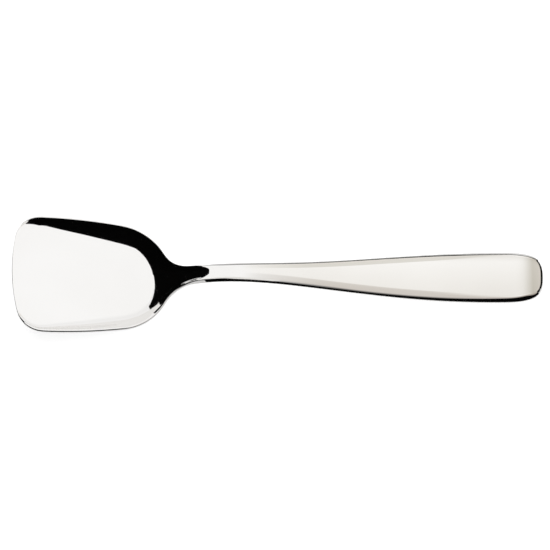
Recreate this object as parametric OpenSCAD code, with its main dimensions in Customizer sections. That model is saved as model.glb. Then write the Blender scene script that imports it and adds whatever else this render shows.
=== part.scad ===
// Sugar spoon in one piece of polished stainless steel: a shovel-shaped bowl with
// an open, gently curved lip, an arched neck and a bevelled handle that flares
// toward a blunt end. It lies as it would on a table, on its heel and its tail.
//
// The skin is a loft. Each ring of the loft crosses the spoon from side to side, and
// its height, width, crown and thickness come from the sizes below by smooth blends.
// "Station" means the distance from the middle of the lip, along the spoon.

/* [Whole spoon] */
// Length from the middle of the lip to the end of the handle
spoon_l = 130; // [115:1:150]

/* [Bowl outline] */
// Width across the rims, just behind the front corners
bowl_w = 30.4; // [25:0.2:36]
// Length of the bowl, from the lip to the back of its rim
bowl_l = 39; // [34:0.1:43]
// How far each side comes in toward the back
side_taper = 1.3; // [0.6:0.1:2.4]
// Radius of the lip, seen from above
lip_r = 48; // [36:1:80]
// Radius of the two front corners
front_corner_r = 6.5; // [4.5:0.5:8]
// Radius of the hollow curves where the rims run into the neck
neck_fillet_r = 8; // [6:0.5:10]

/* [Bowl hollow] */
// Depth of the floor below the rims, at the back
bowl_depth = 4.6; // [3.4:0.1:6]
// Distance from the lip over which the floor makes most of its fall
floor_fall_l = 17; // [12:1:26]
// Slope of the side walls, in degrees
wall_angle = 38; // [32:1:48]
// Share of a wall's width that is the round between floor and wall
wall_round_share = 0.7; // [0.4:0.05:0.9]
// Fall of the rims toward the back when the spoon lies on a table, in degrees
rim_fall_angle = 8.6; // [6:0.1:12]
// Depth of the groove by which the hollow runs out into the neck
groove_depth = 1.8; // [0.8:0.1:2]
// Share of the width that the groove takes between its two rounded rims
groove_w_share = 0.88; // [0.7:0.02:0.96]

/* [Neck] */
// Width of the neck at its narrowest
neck_w = 4.7; // [3.6:0.1:6]
// Thickness of the neck
neck_t = 3.1; // [2.6:0.1:3.8]
// Height of the neck's arch over the table, at its top
arch_h = 8.4; // [7:0.1:11]
// Station of the top of the arch
arch_at = 54; // [50:0.5:60]
// Length over which the arch sweeps down to half its height
arch_sweep_l = 27; // [22:1:34]
// Size of the round where the bowl's back wall meets the arch
arch_round = 0.5; // [0.3:0.1:1.2]
// How far the sides of the neck's top lie below its ridge
neck_crown = 0.45; // [0.3:0.05:0.8]
// Share of the neck's thickness that is its rounded underside
neck_belly_share = 0.6; // [0.4:0.02:0.64]

/* [Handle] */
// Greatest width of the handle
handle_w = 13.2; // [10.5:0.1:16]
// Thickness of the handle
handle_t = 2.4; // [2:0.1:3]
// Width of each bevel, with the rounded side beyond it
bevel_w = 1.95; // [1.5:0.05:2.6]
// Slope of the bevels, in degrees
bevel_angle = 15; // [8:1:24]
// Length over which the bevels run out before the end
bevel_fade_l = 26; // [18:1:34]
// Radius of the gentle crown between the bevels
facet_r = 52; // [36:2:90]
// Share of the handle's thickness that is its rounded underside
handle_belly_share = 0.34; // [0.2:0.02:0.4]
// Length of the stretch at the end where the sides round in
end_round_l = 12.5; // [8:0.5:16]
// Squareness of the end, where 2 is an ellipse
end_squareness = 3.5; // [2.4:0.1:4.5]
// Length over which the end turns down
end_turn_l = 5.5; // [3.5:0.5:8]
// How far the end turns down
end_turn_drop = 0.85; // [0.4:0.05:1]

/* [Steel] */
// Thickness at the lip
lip_t = 0.9; // [0.7:0.05:1.3]
// Thickness of the rims
rim_t = 1; // [0.8:0.05:1.4]
// Thickness of the floor
floor_t = 1.3; // [1:0.05:1.8]
// Radius of the edges of the bowl
rim_edge_r = 0.3; // [0.15:0.05:0.35]
// Radius of the upper edges of the neck and handle
handle_edge_r = 0.9; // [0.5:0.1:1.2]
// Radius of the lower edges of the neck and handle
lower_edge_r = 0.25; // [0.15:0.05:0.35]
// Slope of the sides between those edges, in degrees
side_slope = 50; // [44:2:70]
// Length of the rounded edge at the end of the handle
end_edge_l = 0.8; // [0.5:0.1:1.2]
// Share of the end's thickness by which each side of that edge falls
end_edge_share = 0.23; // [0.1:0.01:0.3]
// Depth of the flat that is ground on the heel
heel_flat = 0.15; // [0.05:0.05:0.3]

/* [Hidden] */

// Steps of one ring, from the middle outward, and of the loft along the spoon
flat_steps = 6;
round_steps = 5;
slope_steps = 2;
edge_steps = 4;
nose_steps = 3;
corner_steps = 5;
bowl_steps = 15;
back_steps = 29;
handle_steps = 22;
end_steps = 9;

// Turn of the lip's rounded edge, in degrees, short of a full quarter
nose_turn = 70;
// Turn of the outline where the first and last rings meet it, in degrees
ring_start_turn = 45;
end_ring_turn = 32;

// Least and most share of a ring's half width taken by its sloping outer part, and
// most share of that part that is round
slope_share_least = 0.15;
slope_share_most = 0.8;
round_share_most = 0.8;
// Share of the outer part of the handle's rings that the crease of the bevel takes
crease_share = 0.3;
// Size of the round at that crease, and least size of the round at the wall's foot
crease_round = 0.04;
foot_round_least = 0.01;
// Most share of a side's height for its upper edge, and of its thickness for its lower one
edge_share_most = 0.7;
low_share_most = 0.34;
// Share of the half width over which the slope at a side is measured
slope_step_share = 0.02;
// Width of the bevels at the end, where only the rounded side is left
bevel_w_end = 0.85;
// Steps by which the lowest point of the heel is looked for
heel_steps = 100;

// Power that spreads the rings of the handle wider toward its end
handle_spread_power = 1.25;

// Shares of the length behind the arch within which the bevels, and the handle's own
// thickness, are reached
facet_start_share = 0.18;
thickness_settle_share = 0.5;

// Shares of the bowl's back and of the neck's climb at which the groove starts and
// would reach its depth, and the power by which it deepens
groove_start_share = 0.5;
groove_end_share = 0.4;
groove_power = 1.5;

// Plan outline, in arcs that touch each other
front_y = bowl_w / 2 - front_corner_r;
front_x = lip_r - sqrt(pow(lip_r - front_corner_r, 2) - pow(front_y, 2));
back_r = bowl_w / 2 - side_taper;
back_x = bowl_l - back_r;
side_r = (pow(back_x - front_x, 2) + pow(bowl_w / 2, 2) - pow(back_r, 2)) / (2 * side_taper);
side_end = back_x + (back_x - front_x) * back_r / (side_r - back_r);
fillet_y = neck_w / 2 + neck_fillet_r;
fillet_x = back_x + sqrt(pow(back_r + neck_fillet_r, 2) - pow(fillet_y, 2));
fillet_start = back_x + (fillet_x - back_x) * back_r / (back_r + neck_fillet_r);
end_from = spoon_l - end_round_l;
tail_at = spoon_l - end_turn_l;
facets_from = mix(arch_at, spoon_l, facet_start_share);
groove_from = mix(back_x, bowl_l, groove_start_share);
groove_to = mix(fillet_x, arch_at, groove_end_share);
neck_end = (groove_to + arch_at) / 2;

// Where the first ring meets the outline, on the front corner
ring_w = front_y + front_corner_r * sin(ring_start_turn);
ring_x = front_x - front_corner_r * cos(ring_start_turn);

// Blends
function clamp(t, low, high) = min(high, max(low, t));
function mix(a, b, t) = a + (b - a) * t;
function ease(t) = let (u = clamp(t, 0, 1)) u * u * u * (u * (6 * u - 15) + 10);
function between(a, b, t) = a + (b - a) * ease(t);
function round_min(a, b, r) = (a + b - sqrt(pow(a - b, 2) + r * r)) / 2;
function fillet_max(a, b, r) = max(a, b) + pow(max(0, r - abs(a - b)), 2) / (4 * r);

// How far along the stretch from one station to another a station lies, from 0 to 1
function along(s, from, to) = clamp((s - from) / (to - from), 0, 1);

// Distance of the outline behind the middle of the lip, at a distance from the axis
function lip_back(y) =
    y < front_y * lip_r / (lip_r - front_corner_r)
        ? lip_r - sqrt(pow(lip_r, 2) - pow(y, 2))
        : front_x - sqrt(pow(front_corner_r, 2) - pow(y - front_y, 2));

// Half width of the outline at a station, from where the first ring meets it, and
// the same before the end of the handle rounds in
function full_w(s) =
    s < ring_x ? ring_w
    : s < front_x ? front_y + sqrt(pow(front_corner_r, 2) - pow(front_x - s, 2))
    : s < side_end ? bowl_w / 2 - side_r + sqrt(pow(side_r, 2) - pow(s - front_x, 2))
    : s < fillet_start ? sqrt(pow(back_r, 2) - pow(s - back_x, 2))
    : s < fillet_x ? fillet_y - sqrt(pow(neck_fillet_r, 2) - pow(fillet_x - s, 2))
    : between(neck_w / 2, handle_w / 2, along(s, fillet_x, tail_at));
function half_w(s) =
    full_w(s) * pow(1 - pow(along(s, end_from, spoon_l), end_squareness), 1 / end_squareness);

// Distance in from the outline of the bowl. Past the back it turns negative, and the
// walls it carries run on there as the ramp that climbs to the neck.
function wall_d(s, y) =
    s < front_x && y * (lip_r - front_x) < front_y * (lip_r - s)
        ? lip_r - norm([lip_r - s, y])
    : s < front_x
        ? front_corner_r - norm([front_x - s, y - front_y])
    : (s - back_x) * (side_r - bowl_w / 2) < y * (back_x - front_x)
        ? side_r - norm([s - front_x, y + side_r - bowl_w / 2])
    : back_r - norm([s - back_x, y]);

// Hollow of the bowl and its groove, as heights over the middle of the lip
wall_round = wall_round_share / (2 - wall_round_share);
function rim_line(s) = -tan(rim_fall_angle) * s;
function depth(s) = bowl_depth * (1 - exp(-s / floor_fall_l));
function groove(s, y) =
    groove_depth
    * pow(along(s, groove_from, groove_to), groove_power)
    * max(0, 1 - soft_rise(y / (groove_w_share * full_w(s))));
function bowl_line(s, y) =
    rim_line(s) - groove(s, y) + fillet_max(
        -depth(s),
        -tan(wall_angle) * wall_d(s, y),
        max(foot_round_least, wall_round * depth(s))
    );

// Thickness of the steel along the middle
function middle_t(s) =
    s < back_x ? between(lip_t, floor_t, s / front_x)
    : s < arch_at ? between(floor_t, neck_t, along(s, back_x + back_r / 2, arch_at))
    : between(neck_t, handle_t, along(s, arch_at, mix(arch_at, spoon_l, thickness_settle_share)));

// Height of the lip that puts the flat of the heel on the table
lip_h = -heel_flat - min([
    for (i = [0:heel_steps])
        let (s = bowl_l * i / heel_steps)
        bowl_line(s, 0) - middle_t(s)
]);

// The arch, set so that the tail lies on the table
function arch_share(s) = 1 / (1 + pow((s - arch_at) / arch_sweep_l, 2));
arch_base = (handle_t - arch_h * arch_share(tail_at)) / (1 - arch_share(tail_at));
function arch_line(s) = arch_base + (arch_h - arch_base) * arch_share(min(s, tail_at));

// How far a station has come to the back of the bowl, to the neck and to the handle,
// and how far the sides of the steel have changed from a rim's to the handle's
function backness(s) = ease(along(s, back_x, bowl_l));
function neckness(s) = ease(along(s, bowl_l - neck_w / 2, fillet_x));
function handleness(s) = ease(along(s, fillet_x, facets_from));
function sideness(s) = ease(along(s, bowl_l, arch_at));

// Rise of a section from 0 in the middle to 1 at the side, at a share t of its half
// width, where its outer share a slopes and the first share b of that is round
function rise(t, a, b) =
    let (u = max(0, (t - 1 + a) / a))
    (u < b ? u * u / (2 * b) : u - b / 2) / (1 - b / 2);
function soft_rise(t) = rise(t, slope_share_most, round_share_most);

// Fall of the top from its ridge toward the sides, in the neck and in the handle,
// where a facet with a gentle crown lies between two flat bevels
function bevel_from(s) =
    full_w(s) - between(bevel_w, bevel_w_end, along(s, tail_at - bevel_fade_l, tail_at));
function facet_fall(y) = pow(y, 2) / (2 * facet_r);
function handle_fall(s, y) =
    fillet_max(
        facet_fall(y),
        facet_fall(bevel_from(s)) + tan(bevel_angle) * (y - bevel_from(s)),
        crease_round
    );
function neck_fall(s, y) =
    neckness(s) * mix(neck_crown * soft_rise(y / full_w(s)), handle_fall(s, y), handleness(s));

// How far the end of the handle has turned down
function turn_down(s) = end_turn_drop * pow(along(s, tail_at, spoon_l), 2);

// Height of the top, at a station and a distance from the axis
function arch_top(s, y) = arch_line(s) - neck_fall(s, y) - turn_down(s);
function bowl_top(s, y) = lip_h + bowl_line(s, y) - neck_fall(s, y);
function top(s, y) =
    s < back_x ? bowl_top(s, y)
    : s > facets_from ? arch_top(s, y)
    : mix(bowl_top(s, y), round_min(bowl_top(s, y), arch_top(s, y), arch_round), backness(s));

// Height of the underside, at a share t of the half width w: a skin's thickness under
// the bowl, and a rounded belly under the neck and handle
function belly(s) =
    middle_t(s)
    * between(neck_belly_share, handle_belly_share, along(s, fillet_x, tail_at));
function under(s, t, w) =
    mix(
        top(s, t * w) - mix(middle_t(s), rim_t, t * t),
        top(s, 0) + turn_down(s) - middle_t(s) + belly(s) * soft_rise(t),
        sideness(s)
    );

// Share of a ring's half width that slopes, and share of that which is round
function slope_share(s) =
    s < fillet_x
        ? mix(
            clamp(
                (1 + wall_round) * depth(s) / tan(wall_angle) / half_w(s),
                slope_share_least,
                slope_share_most
            ),
            slope_share_most,
            backness(s)
        )
        : mix(slope_share_most, 1 - bevel_from(s) / full_w(s), handleness(s));
function round_share(s) =
    s < fillet_x
        ? mix(wall_round_share, round_share_most, backness(s))
        : mix(round_share_most, crease_share, handleness(s));

// Shares of the half width at which a ring has points
function ring_shares(a, b) = [
    for (i = [0:flat_steps - 1]) (1 - a) * sin(90 * i / flat_steps),
    for (i = [0:round_steps - 1]) 1 - a + a * b * i / round_steps,
    for (i = [0:slope_steps]) 1 - a * (1 - b) * (1 - i / slope_steps)
];

// Rounded edge at the two ends: how far out and how far down its part q leads, where
// the steel has a given thickness
function nose_out(q, at_lip) = at_lip ? rim_edge_r * sin(nose_turn * q) : end_edge_l * q;
function nose_down(q, at_lip, thickness) =
    at_lip ? rim_edge_r * (1 - cos(nose_turn * q)) : end_edge_share * thickness * q * q;

// Points of an arc in a ring's plane, between two directions counted from upright
function edge_arc(centre, r, from, to) = [
    for (i = [1:edge_steps])
        let (turn = mix(from, to, i / edge_steps))
        centre + r * [sin(turn), cos(turn)]
];

// One half of a ring, as its top and its underside, both from the middle out. The
// ring meets the middle at the station mid and the side at the station side, and
// bends between them as the end that it belongs to does: toward the lip, or the tail.
// At the two ends, q is how far round the edge of the steel the ring lies.
function half_ring(mid, side, q) =
    let (
        at_lip = mid < back_x,
        part_way = at_lip ? 1 - along(side, ring_x, front_x) : along(side, end_from, last_x),
        shift = nose_out(1, at_lip) * part_way * part_way - nose_out(q, at_lip),
        x_shift = at_lip ? shift : -shift,
        at = side + x_shift,
        w = half_w(at),
        thickness = top(at, w) - under(at, 1, w),
        down = nose_down(q, at_lip, thickness),
        // Slopes of the top and the underside at the side, and the side's own slope
        step = slope_step_share * w,
        top_turn = atan((top(at, w - step) - top(at, w)) / step),
        under_turn = 180 - atan((under(at, 1, w) - under(at, 1 - slope_step_share, w)) / step),
        lean = mix(90, side_slope, sideness(at)),
        // The lower edge touches the underside and the widest line of the ring
        low_r = min(
            mix(rim_edge_r, lower_edge_r, sideness(at)),
            low_share_most * thickness
        ) - down / 2,
        low_at = [
            w - low_r,
            under(at, 1, w) + down + low_r * (1 - sin(under_turn)) / -cos(under_turn)
        ],
        low_end = low_at + low_r * [sin(lean), cos(lean)],
        // The upper edge touches the top and the side, which meet in a corner
        across = [sin(top_turn), cos(top_turn)],
        corner_l = across * ([w, top(at, w) - down] - low_end) / sin(lean - top_turn),
        corner = low_end + corner_l * [-cos(lean), sin(lean)],
        half_tan = tan((lean - top_turn) / 2),
        high_r = min(
            mix(rim_edge_r, handle_edge_r, sideness(at)),
            edge_share_most * corner_l / half_tan
        ),
        high_start = corner - high_r * half_tan * [cos(top_turn), -sin(top_turn)],
        s = min(mid, tail_at)
    )
    [
        for (over = [true, false])
            let (
                a = over || s < fillet_x ? slope_share(s) : slope_share_most,
                b = over || s < fillet_x ? round_share(s) : round_share_most,
                end_w = over ? high_start[0] : low_at[0] + low_r * sin(under_turn)
            )
            concat(
                [
                    for (t = ring_shares(a, b))
                        let (
                            bend = at_lip ? lip_back(t * ring_w) / ring_x : pow(t, end_squareness),
                            x = mix(mid, side, bend) + x_shift,
                            y = t * end_w,
                            high = top(x, y),
                            low = under(x, y / w, w),
                            fall = nose_down(q, at_lip, high - low),
                            z = over ? high - fall : low + fall
                        )
                        [x, y, max(0, z)]
                ],
                [
                    for (p = over
                        ? edge_arc(high_start - high_r * across, high_r, top_turn, lean)
                        : edge_arc(low_at, low_r, under_turn, lean))
                        [at, p[0], max(0, p[1])]
                ]
            )
    ];

// A whole ring: the top from the far side to the near one, then the underside back
function other_side(p) = [p[0], -p[1], p[2]];
function whole_ring(mid, side, q) =
    let (
        halves = half_ring(mid, side, q),
        over = halves[0],
        under = halves[1],
        last = len(over) - 1
    )
    concat(
        [for (i = [last:-1:1]) over[i]],
        [for (i = [0:last]) other_side(over[i])],
        [for (i = [last:-1:1]) other_side(under[i])],
        [for (i = [0:last]) under[i]]
    );

// Stations of the rings: round the lip's edge, along a front corner, the sides, the
// back with the neck's root, the handle, a corner of the end, and round its edge
function lip_bend(side) = ring_x * (1 - along(side, ring_x, back_x));
function end_bend(side) = (spoon_l - last_x) * along(side, end_from, last_x);
function end_station(turn) = end_from + end_round_l * pow(cos(turn), 2 / end_squareness);
last_x = end_station(end_ring_turn);

sides = concat(
    [for (i = [0:corner_steps - 1])
        front_x - front_corner_r * cos(mix(ring_start_turn, 90, i / corner_steps))],
    [for (i = [0:bowl_steps - 1]) mix(front_x, back_x, i / bowl_steps)],
    [for (i = [0:back_steps - 1]) mix(back_x, neck_end, i / back_steps)],
    [for (i = [0:handle_steps - 1])
        mix(neck_end, end_from, pow(i / handle_steps, handle_spread_power))],
    [for (i = [0:end_steps]) end_station(mix(90, end_ring_turn, i / end_steps))]
);

rings = concat(
    [for (i = [nose_steps:-1:1]) whole_ring(0, ring_x, i / nose_steps)],
    [for (side = sides)
        whole_ring(side < back_x ? side - lip_bend(side) : side + end_bend(side), side, 0)],
    [for (i = [1:nose_steps]) whole_ring(spoon_l, last_x, i / nose_steps)]
);

// Faces between two rings, and across an end, where the top's points face those of
// the underside
ring_n = len(rings[0]);
half_n = ring_n / 2;
function skin_faces(k) = [
    for (i = [0:ring_n - 1])
        let (
            a = k * ring_n + i,
            b = k * ring_n + (i + 1) % ring_n
        )
        each [[a, a + ring_n, b + ring_n], [a, b + ring_n, b]]
];
function end_faces(k, forward) = [
    for (i = [0:half_n - 2])
        let (
            a = k * ring_n + i,
            b = k * ring_n + i + 1,
            c = (k + 1) * ring_n - 2 - i,
            d = (k + 1) * ring_n - 1 - i
        )
        each forward ? [[a, b, c], [a, c, d]] : [[a, c, b], [a, d, c]]
];

// The spoon, with its origin under the middle of its length
module spoon() {
    color("gainsboro")
        translate([-spoon_l / 2, 0, 0])
            polyhedron(
                points = [for (g = rings) each g],
                faces = concat(
                    [for (k = [0:len(rings) - 2]) each skin_faces(k)],
                    end_faces(0, true),
                    end_faces(len(rings) - 1, false)
                )
            );
}

spoon();
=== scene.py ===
import math

import bpy
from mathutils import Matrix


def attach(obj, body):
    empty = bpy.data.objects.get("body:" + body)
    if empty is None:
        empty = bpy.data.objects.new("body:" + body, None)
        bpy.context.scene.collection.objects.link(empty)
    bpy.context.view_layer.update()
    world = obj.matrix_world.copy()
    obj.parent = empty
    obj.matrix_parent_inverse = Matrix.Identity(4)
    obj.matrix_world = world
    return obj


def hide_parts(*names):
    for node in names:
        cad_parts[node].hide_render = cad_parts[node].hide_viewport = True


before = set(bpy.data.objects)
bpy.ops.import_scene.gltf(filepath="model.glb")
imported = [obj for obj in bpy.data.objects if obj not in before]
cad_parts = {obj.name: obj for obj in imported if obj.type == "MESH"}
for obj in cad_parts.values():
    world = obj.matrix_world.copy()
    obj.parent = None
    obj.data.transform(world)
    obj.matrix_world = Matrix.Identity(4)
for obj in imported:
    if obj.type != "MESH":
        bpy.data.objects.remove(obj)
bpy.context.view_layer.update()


# The spoon is a single piece of stainless steel. It is blanked from thick sheet,
# rolled out thin toward the bowl and left thick in the neck, pressed to shape
# with its open bowl, and polished all over to a mirror finish.
SAME_POINT = 2e-6
SMOOTHING_LEVELS = 2

spoon = bpy.data.objects.new("polished_spoon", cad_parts["spoon"].data.copy())
bpy.context.scene.collection.objects.link(spoon)
bpy.ops.object.select_all(action="DESELECT")
spoon.select_set(True)
bpy.context.view_layer.objects.active = spoon
bpy.ops.mesh.customdata_custom_splitnormals_clear()
bpy.ops.object.mode_set(mode="EDIT")
bpy.ops.mesh.select_all(action="SELECT")
bpy.ops.mesh.remove_doubles(threshold=SAME_POINT)
bpy.ops.mesh.tris_convert_to_quads(face_threshold=math.pi, shape_threshold=math.pi)
bpy.ops.object.mode_set(mode="OBJECT")
smoothing = spoon.modifiers.new("smoothing", "SUBSURF")
smoothing.levels = smoothing.render_levels = SMOOTHING_LEVELS
bpy.ops.object.modifier_apply(modifier=smoothing.name)
bpy.ops.object.shade_smooth()

# Mirror polish: bright steel, faintly warm and a little uneven in tone. The wheel
# leaves very fine lines along the spoon, and use leaves a few hairline scratches
# that run askew.
STEEL_DARKER = (0.84, 0.83, 0.815, 1)
STEEL_LIGHTER = (0.87, 0.862, 0.85, 1)
CLOUD_SCALE = 45
LINE_SCALE = (40, 1800, 1800)
LINE_ROUGHNESS = (0.035, 0.075)
LINE_STRENGTH = 0.02
LINE_DEPTH = 0.00002
SCRATCH_TURN = 28
SCRATCH_SCALE = (120, 2600, 600)
SCRATCH_ROUGHNESS = 0.09

steel = bpy.data.materials.new("mirror_steel")
steel.use_nodes = True
nodes = steel.node_tree.nodes
links = steel.node_tree.links
metal = nodes["Principled BSDF"]
metal.inputs["Metallic"].default_value = 1
place = nodes.new("ShaderNodeTexCoord")

tint = nodes.new("ShaderNodeTexNoise")
tint.inputs["Scale"].default_value = CLOUD_SCALE
tint.inputs["Detail"].default_value = 2
links.new(place.outputs["Object"], tint.inputs["Vector"])
tone = nodes.new("ShaderNodeValToRGB")
tone.color_ramp.elements[0].position = 0.3
tone.color_ramp.elements[0].color = STEEL_DARKER
tone.color_ramp.elements[1].position = 0.7
tone.color_ramp.elements[1].color = STEEL_LIGHTER
links.new(tint.outputs["Fac"], tone.inputs["Fac"])
links.new(tone.outputs["Color"], metal.inputs["Base Color"])

grain_run = nodes.new("ShaderNodeMapping")
grain_run.inputs["Scale"].default_value = LINE_SCALE
links.new(place.outputs["Object"], grain_run.inputs["Vector"])
grain = nodes.new("ShaderNodeTexNoise")
grain.inputs["Scale"].default_value = 1
grain.inputs["Detail"].default_value = 4
links.new(grain_run.outputs["Vector"], grain.inputs["Vector"])

haze = nodes.new("ShaderNodeMapRange")
haze.inputs["From Min"].default_value = 0.35
haze.inputs["From Max"].default_value = 0.7
haze.inputs["To Min"].default_value = LINE_ROUGHNESS[0]
haze.inputs["To Max"].default_value = LINE_ROUGHNESS[1]
links.new(grain.outputs["Fac"], haze.inputs["Value"])

scratch_run = nodes.new("ShaderNodeMapping")
scratch_run.inputs["Rotation"].default_value = (0, 0, math.radians(SCRATCH_TURN))
scratch_run.inputs["Scale"].default_value = SCRATCH_SCALE
links.new(place.outputs["Object"], scratch_run.inputs["Vector"])
scratches = nodes.new("ShaderNodeTexNoise")
scratches.inputs["Scale"].default_value = 1
scratches.inputs["Detail"].default_value = 1
scratches.inputs["Distortion"].default_value = 0.6
links.new(scratch_run.outputs["Vector"], scratches.inputs["Vector"])
hairlines = nodes.new("ShaderNodeMapRange")
hairlines.inputs["From Min"].default_value = 0.7
hairlines.inputs["From Max"].default_value = 0.78
hairlines.inputs["To Max"].default_value = SCRATCH_ROUGHNESS
links.new(scratches.outputs["Fac"], hairlines.inputs["Value"])
worn = nodes.new("ShaderNodeMath")
worn.operation = "ADD"
links.new(haze.outputs["Result"], worn.inputs[0])
links.new(hairlines.outputs["Result"], worn.inputs[1])
links.new(worn.outputs["Value"], metal.inputs["Roughness"])

ripple = nodes.new("ShaderNodeBump")
ripple.inputs["Strength"].default_value = LINE_STRENGTH
ripple.inputs["Distance"].default_value = LINE_DEPTH
links.new(grain.outputs["Fac"], ripple.inputs["Height"])
links.new(ripple.outputs["Normal"], metal.inputs["Normal"])

spoon.data.materials.clear()
spoon.data.materials.append(steel)
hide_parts("spoon")
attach(spoon, "root")


# The table is a sheet of plain white card. It keeps the spoon's soft shadow. Camera
# and metal both see it as paper white, and the metal also sees the shadow in it.
FLOOR_SIZE = 2.4
FLOOR_TONE = (0.8, 0.8, 0.8, 1)
FLOOR_LIFT = 0.82
FLOOR_LIFT_IN_METAL = 0.24

bpy.ops.mesh.primitive_plane_add(size=FLOOR_SIZE, location=(0, 0, 0))
floor = bpy.context.view_layer.objects.active
floor.name = "floor"
card = bpy.data.materials.new("white_card")
card.use_nodes = True
nodes = card.node_tree.nodes
links = card.node_tree.links
paper = nodes["Principled BSDF"]
paper.inputs["Base Color"].default_value = FLOOR_TONE
paper.inputs["Roughness"].default_value = 0.9
paper.inputs["Specular IOR Level"].default_value = 0
paper.inputs["Emission Color"].default_value = (1, 1, 1, 1)
path = nodes.new("ShaderNodeLightPath")
mirrored = nodes.new("ShaderNodeMath")
mirrored.operation = "MAXIMUM"
links.new(path.outputs["Is Glossy Ray"], mirrored.inputs[0])
links.new(path.outputs["Is Transmission Ray"], mirrored.inputs[1])
dimmer = nodes.new("ShaderNodeMath")
dimmer.operation = "MULTIPLY"
dimmer.inputs[1].default_value = FLOOR_LIFT_IN_METAL
links.new(mirrored.outputs["Value"], dimmer.inputs[0])
lift = nodes.new("ShaderNodeMath")
lift.operation = "MULTIPLY_ADD"
lift.inputs[1].default_value = FLOOR_LIFT
links.new(path.outputs["Is Camera Ray"], lift.inputs[0])
links.new(dimmer.outputs["Value"], lift.inputs[2])
links.new(lift.outputs["Value"], paper.inputs["Emission Strength"])
floor.data.materials.append(card)

# The background past the card is plain white for camera and metal alike, and its
# even light is the light of the studio.
world = bpy.data.worlds.new("white_background")
bpy.context.scene.world = world
world.use_nodes = True
world.node_tree.nodes["Background"].inputs["Color"].default_value = (1, 1, 1, 1)
world.node_tree.nodes["Background"].inputs["Strength"].default_value = 1


# One big softbox hangs over the table. It is a touch brighter than the studio round
# it, and fades into it toward the back. Its fade is given by the angle at which the
# spoon sees it, from straight up, in degrees.
CEILING = 0.8
BOX_SIDES = (-0.6, 2.2)
BOX_ENDS = (-0.5, 2.4)
BOX_LIGHT = 1.08
BOX_FADE = ((-32, 1), (60, 1), (72, 0.92))


def panel(name, corners, material):
    mesh = bpy.data.meshes.new(name)
    mesh.from_pydata(corners, [], [range(len(corners))])
    made = bpy.data.objects.new(name, mesh)
    bpy.context.scene.collection.objects.link(made)
    made.data.materials.append(material)
    made.visible_camera = False
    return made


def level(name, sides, ends, height, material):
    corners = [(sides[i], ends[k], height) for i, k in ((0, 0), (0, 1), (1, 1), (1, 0))]
    return panel(name, corners, material)


def glow(name):
    cloth = bpy.data.materials.new(name)
    cloth.use_nodes = True
    nodes = cloth.node_tree.nodes
    links = cloth.node_tree.links
    nodes.remove(nodes["Principled BSDF"])
    light = nodes.new("ShaderNodeEmission")
    links.new(light.outputs["Emission"], nodes["Material Output"].inputs["Surface"])
    where = nodes.new("ShaderNodeTexCoord")
    axes = nodes.new("ShaderNodeSeparateXYZ")
    links.new(where.outputs["Object"], axes.inputs["Vector"])
    return cloth, nodes, links, light, axes


def fade(nodes, links, distance, stops):
    across = nodes.new("ShaderNodeMapRange")
    across.inputs["From Min"].default_value = stops[0][0]
    across.inputs["From Max"].default_value = stops[-1][0]
    links.new(distance, across.inputs["Value"])
    ramp = nodes.new("ShaderNodeValToRGB")
    elements = ramp.color_ramp.elements
    while len(elements) < len(stops):
        elements.new(1)
    for element, (at, colour) in zip(elements, stops):
        element.position = (at - stops[0][0]) / (stops[-1][0] - stops[0][0])
        element.color = (*colour, 1)
    links.new(across.outputs["Result"], ramp.inputs["Fac"])
    return ramp.outputs["Color"]


cloth, nodes, links, light, axes = glow("softbox_cloth")
box_tones = [
    (CEILING * math.tan(math.radians(angle)), (strength, strength, strength))
    for angle, strength in BOX_FADE
]
links.new(fade(nodes, links, axes.outputs["Y"], box_tones), light.inputs["Color"])
light.inputs["Strength"].default_value = BOX_LIGHT
level("softbox", BOX_SIDES, BOX_ENDS, CEILING, cloth)

# A smaller light hangs low over the neck and handle. It is dimmer at the front and
# the back, and turns to a warm grey past the end of the handle, so that the bevels
# and the turned-down end show. Over the neck it is nearly even.
LOW_LIGHT = 0.04
LOW_SIDES = (-0.006, 0.14)
LOW_ENDS = (-0.13, 0.07)
BOX_TO_NECK = (-0.006, 0.002)
NECK_TO_HANDLE = (0.002, 0.02)
HANDLE_TO_END = (0.038, 0.052)
BLACK = (0, 0, 0)
WHITE = (1, 1, 1)
front_tones = [
    (-0.13, (0.1, 0.1, 0.1)),
    (-0.05, (0.22, 0.21, 0.2)),
    (-0.02, (0.68, 0.64, 0.6)),
]
end_front_tones = [
    (-0.13, (0.2, 0.18, 0.17)),
    (-0.04, (0.62, 0.58, 0.55)),
]
back_tones = [
    (-0.008, (0.72, 0.68, 0.63)),
    (0.002, (0.96, 0.94, 0.9)),
    (0.025, (1.08, 1.07, 1.05)),
    (0.036, (0.82, 0.8, 0.75)),
    (0.07, (0.86, 0.83, 0.77)),
]
neck_tones = [
    (-0.008, (0.9, 0.89, 0.87)),
    (0.012, (1.05, 1.04, 1.02)),
    (0.07, (0.94, 0.92, 0.89)),
]
past_end_tones = [
    (0.06, WHITE),
    (0.075, (0.65, 0.63, 0.58)),
    (0.098, (0.74, 0.71, 0.67)),
    (0.11, (0.35, 0.33, 0.32)),
]


def mixed(nodes, links, before, after):
    mix = nodes.new("ShaderNodeMix")
    mix.data_type = "RGBA"
    links.new(before, mix.inputs["A"])
    links.new(after, mix.inputs["B"])
    return mix


def changed(nodes, links, distance, span, before, after):
    mix = mixed(nodes, links, before, after)
    share = fade(nodes, links, distance, [(span[0], BLACK), (span[1], WHITE)])
    links.new(share, mix.inputs["Factor"])
    return mix.outputs["Result"]


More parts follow.
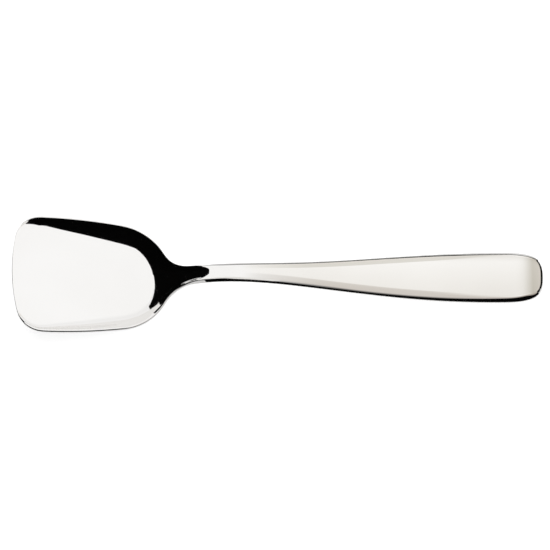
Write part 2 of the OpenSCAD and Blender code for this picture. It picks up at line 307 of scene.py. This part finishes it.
cloth, nodes, links, light, axes = glow("low_light_cloth")
over_box = nodes.new("ShaderNodeRGB")
over_box.outputs["Color"].default_value = (BOX_LIGHT, BOX_LIGHT, BOX_LIGHT, 1)
along = axes.outputs["X"]
across = axes.outputs["Y"]
over_neck = fade(nodes, links, across, neck_tones)
over_handle = fade(nodes, links, across, front_tones + back_tones)
over_end = fade(nodes, links, across, end_front_tones + back_tones)
tones = changed(nodes, links, along, BOX_TO_NECK, over_box.outputs["Color"], over_neck)
tones = changed(nodes, links, along, NECK_TO_HANDLE, tones, over_handle)
tones = changed(nodes, links, along, HANDLE_TO_END, tones, over_end)
dimmed = mixed(nodes, links, tones, fade(nodes, links, along, past_end_tones))
dimmed.blend_type = "MULTIPLY"
dimmed.inputs["Factor"].default_value = 1
links.new(dimmed.outputs["Result"], light.inputs["Color"])
low_box = level("low_light", LOW_SIDES, LOW_ENDS, LOW_LIGHT, cloth)
low_box.visible_diffuse = low_box.visible_shadow = False

# A small white card lies in front of the neck, over the table, and keeps the black
# of the studio off its near side. It is no lamp, yet it glows with light of its own:
# painted light that stands in for the light a lit white card would throw back.
NECK_CARD = 0.02
NECK_CARD_SIDES = (-0.028, 0.004)
NECK_CARD_ENDS = (-0.055, -0.009)
NECK_CARD_GLOW = (0.9, 0.89, 0.87, 1)

cloth, nodes, links, light, axes = glow("neck_card_glow")
# The card's pale white is its own glow, painted light rather than light from the studio.
light.inputs["Color"].default_value = NECK_CARD_GLOW
neck_card = level("neck_card", NECK_CARD_SIDES, NECK_CARD_ENDS, NECK_CARD, cloth)
neck_card.visible_diffuse = neck_card.visible_shadow = False

# Low strips of black card stand on the table round the spoon, a few millimetres off
# it, with a higher one well past its end. They draw the dark lines of its outline.
STRIP = 0.01
BACK_STRIP = 0.014
BACK_STRIP_FROM = -0.02
STRIP_LEFT = -0.07
STRIP_RIGHT = 0.075
STRIP_FRONT = -0.021
STRIP_BACK = 0.022
HIGH_CARD_AT = 0.15
HIGH_CARD_FRONT = -0.1
HIGH_CARD_BACK = 0.06
CLOTH_TONE = (0.002, 0.002, 0.002, 1)

black = bpy.data.materials.new("black_cloth")
black.use_nodes = True
matt = black.node_tree.nodes["Principled BSDF"]
matt.inputs["Base Color"].default_value = CLOTH_TONE
matt.inputs["Specular IOR Level"].default_value = 0
for name, (x0, y0), (x1, y1), height in (
    ("high_end_card", (HIGH_CARD_AT, HIGH_CARD_FRONT), (HIGH_CARD_AT, HIGH_CARD_BACK), LOW_LIGHT),
    ("end_card", (STRIP_RIGHT, STRIP_FRONT), (STRIP_RIGHT, STRIP_BACK), STRIP),
    ("back_card", (BACK_STRIP_FROM, STRIP_BACK), (STRIP_RIGHT, STRIP_BACK), BACK_STRIP),
    ("front_card", (STRIP_LEFT, STRIP_FRONT), (STRIP_RIGHT, STRIP_FRONT), STRIP),
    ("lip_card", (STRIP_LEFT, STRIP_FRONT), (STRIP_LEFT, STRIP_BACK), STRIP),
):
    corners = [(x0, y0, 0), (x1, y1, 0), (x1, y1, height), (x0, y0, height)]
    strip = panel(name, corners, black)
    strip.visible_diffuse = strip.visible_shadow = False

# Black cloth hangs round the left and the front, as it does round polished
# tableware. Where its top hem lies is where the black reflections end. The hem's
# points are shares of its height, from a spot over the bowl.
HEM = 0.78
BOWL_AT = -0.028
hem_shares = [
    (-5.3, 11.7),
    (-1.34, 2.98),
    (-1.03, 1.74),
    (-0.56, 0.05),
    (-0.48, -0.28),
    (-0.39, -0.43),
    (-0.27, -0.52),
    (0.26, -0.55),
    (0.37, -0.46),
    (0.5, -0.23),
    (0.61, -0.2),
    (0.77, -0.24),
    (1.38, -0.53),
    (3.1, -1.75),
]
hem = [(BOWL_AT + HEM * x, HEM * y) for x, y in hem_shares]
for k, ((x0, y0), (x1, y1)) in enumerate(zip(hem, hem[1:])):
    corners = [(x0, y0, 0), (x1, y1, 0), (x1, y1, HEM), (x0, y0, HEM)]
    panel(f"black_cloth_{k}", corners, black)


# The camera looks down on the spoon from the near side, from far off, with the
# spoon lying a touch askew in the picture.
CAMERA_ELEVATION = 68.2
CAMERA_ROLL = -0.84
PICTURE_WIDTH = 0.13454
PICTURE_CENTRE = (-0.000641, 0.001886)
CAMERA_DISTANCE = 0.4
CAMERA_NEAR_LIMIT = 0.01

camera = bpy.data.objects.new("camera", bpy.data.cameras.new("camera"))
bpy.context.scene.collection.objects.link(camera)
camera.data.type = "ORTHO"
camera.data.ortho_scale = PICTURE_WIDTH
camera.data.clip_start = CAMERA_NEAR_LIMIT
camera.rotation_mode = "ZYX"
camera.rotation_euler = (math.radians(90 - CAMERA_ELEVATION), 0, math.radians(CAMERA_ROLL))
to_right, upwards, backwards = camera.rotation_euler.to_matrix().col
centre = to_right * PICTURE_CENTRE[0] + upwards * PICTURE_CENTRE[1]
camera.location = centre + backwards * CAMERA_DISTANCE
bpy.context.scene.camera = camera
bpy.context.scene.view_settings.view_transform = "Standard"
